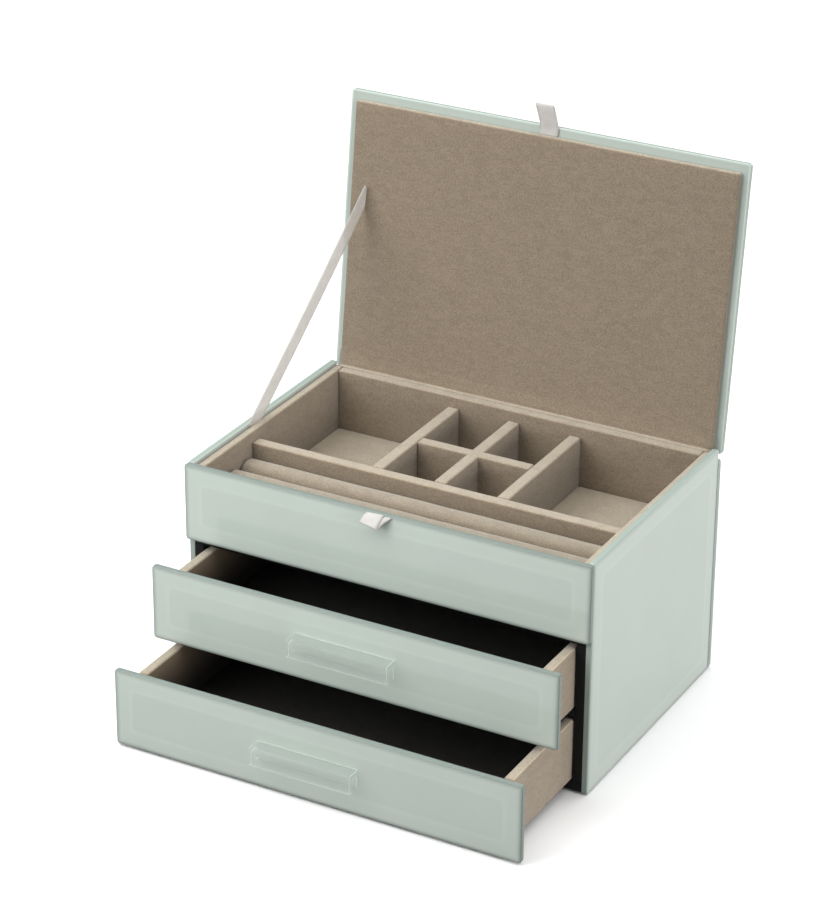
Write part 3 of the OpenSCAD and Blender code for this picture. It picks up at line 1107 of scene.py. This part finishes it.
class CHEST_OT_stage(ChestOperator, bpy.types.Operator):
    """White paper floor, soft studio lights and the camera"""

    bl_idname = "chest.stage"
    bl_label = "Stage"

    FLOOR_REACH = 8.0
    MIDDLE = (0.0, 0.0, 0.12)
    # (name, place, target, size in metres, watts)
    LIGHTS = (
        ("top", (0.1, 0.7, 2.6), (0.1, 0.7, 0.0), (5.0, 5.0), 146.0),
        ("side", (2.4, -0.5, 0.55), MIDDLE, (2.0, 0.8), 25.2),
        ("front", (-0.82, -1.0, 0.66), (0.0, 0.0, 0.17), (1.2, 0.8), 10.0),
        ("pad", (-0.36, -0.56, 0.76), (-0.08, 0.1, 0.3), (0.5, 0.4), 1.7),
        ("left", (-2.0, 0.3, 1.6), MIDDLE, (1.5, 1.5), 5.0),
        ("rear", (0.6, 2.6, 0.9), MIDDLE, (2.0, 1.0), 14.0),
    )
    WORLD_STRENGTH = 0.18
    # The camera's bearing to the right of the front, its height angle and its roll, in degrees.
    TURN, TILT, ROLL = 28.458, 25.782, 0.452
    # The point that the camera looks at, and its distance from it.
    AIM, DISTANCE = Vector((-25.12, 0.0, 148.78)) * MM, 1.96493
    SENSOR_HEIGHT, FOCAL_LENGTH = 24.0, 86.71

    def floor(self):
        bm = bmesh.new()
        bmesh.ops.create_grid(bm, x_segments=8, y_segments=8, size=self.FLOOR_REACH)
        made = make_object("floor_paper", bm, [studio_floor()])
        # The paper doesn't light the chest from below.
        made.visible_diffuse = False

    def softbox(self, name, place, target, size, watts):
        lamp = bpy.data.lights.new(name, "AREA")
        lamp.shape = "RECTANGLE"
        lamp.size, lamp.size_y = size
        lamp.energy = watts
        made = bpy.data.objects.new(name, lamp)
        made.location = place
        aim = Vector(target) - Vector(place)
        made.rotation_euler = aim.to_track_quat("-Z", "Y").to_euler()
        bpy.context.scene.collection.objects.link(made)

    def camera(self):
        turn, tilt, roll = (math.radians(a) for a in (self.TURN, self.TILT, self.ROLL))
        level = math.cos(tilt)
        away = Vector((math.sin(turn) * level, -math.cos(turn) * level, math.sin(tilt)))
        right = Vector((math.cos(turn), math.sin(turn), 0.0))
        up = away.cross(right)
        right, up = (
            right * math.cos(roll) + up * math.sin(roll),
            up * math.cos(roll) - right * math.sin(roll),
        )
        lens = bpy.data.cameras.new("camera")
        lens.sensor_fit = "VERTICAL"
        lens.sensor_height = self.SENSOR_HEIGHT
        lens.lens = self.FOCAL_LENGTH
        lens.clip_end = 60.0
        made = bpy.data.objects.new("camera", lens)
        facing = Matrix((right, up, away)).transposed().to_4x4()
        made.matrix_world = Matrix.Translation(self.AIM + away * self.DISTANCE) @ facing
        bpy.context.scene.collection.objects.link(made)
        bpy.context.scene.camera = made

    def execute(self, context):
        self.floor()
        for light in self.LIGHTS:
            self.softbox(*light)
        scene = context.scene
        if scene.world is None:
            scene.world = bpy.data.worlds.new("studio")
        scene.world.use_nodes = True
        background = scene.world.node_tree.nodes["Background"]
        background.inputs["Color"].default_value = (1.0, 1.0, 1.0, 1.0)
        background.inputs["Strength"].default_value = self.WORLD_STRENGTH
        scene.view_settings.view_transform = "Standard"
        self.camera()
        return {"FINISHED"}


class CHEST_PT_panel(bpy.types.Panel):
    """Lists the chest's pieces and its settings"""

    bl_idname = "CHEST_PT_panel"
    bl_label = "Jewellery chest"
    bl_space_type = "VIEW_3D"
    bl_region_type = "UI"
    bl_category = "Chest"

    def draw(self, context):
        for operator in OPERATORS:
            self.layout.operator(operator.bl_idname)
        for group in (context.scene.chest_colours, context.scene.chest_sizes):
            column = self.layout.column()
            for name in group.__annotations__:
                column.prop(group, name)


OPERATORS = (
    CHEST_OT_glass_panels,
    CHEST_OT_carcass,
    CHEST_OT_tray,
    CHEST_OT_ring_rolls,
    CHEST_OT_lid_pad,
    CHEST_OT_hinge_cloth,
    CHEST_OT_stay_ribbon,
    CHEST_OT_ribbon_tabs,
    CHEST_OT_drawer_boxes,
    CHEST_OT_handles,
    CHEST_OT_stage,
)
CLASSES = (ChestColours, ChestSizes, *OPERATORS, CHEST_PT_panel)


def register():
    for made in CLASSES:
        bpy.utils.register_class(made)
    bpy.types.Scene.chest_colours = PointerProperty(type=ChestColours)
    bpy.types.Scene.chest_sizes = PointerProperty(type=ChestSizes)


def unregister():
    del bpy.types.Scene.chest_sizes
    del bpy.types.Scene.chest_colours
    for made in reversed(CLASSES):
        bpy.utils.unregister_class(made)


def main():
    register()
    bpy.ops.chest.stage()
    bpy.ops.chest.glass_panels()
    bpy.ops.chest.carcass()
    bpy.ops.chest.tray()
    bpy.ops.chest.ring_rolls()
    bpy.ops.chest.lid_pad()
    bpy.ops.chest.hinge_cloth()
    bpy.ops.chest.stay_ribbon()
    bpy.ops.chest.ribbon_tabs()
    bpy.ops.chest.drawer_boxes()
    bpy.ops.chest.handles()
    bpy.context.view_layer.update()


if __name__ == "__main__":
    main()
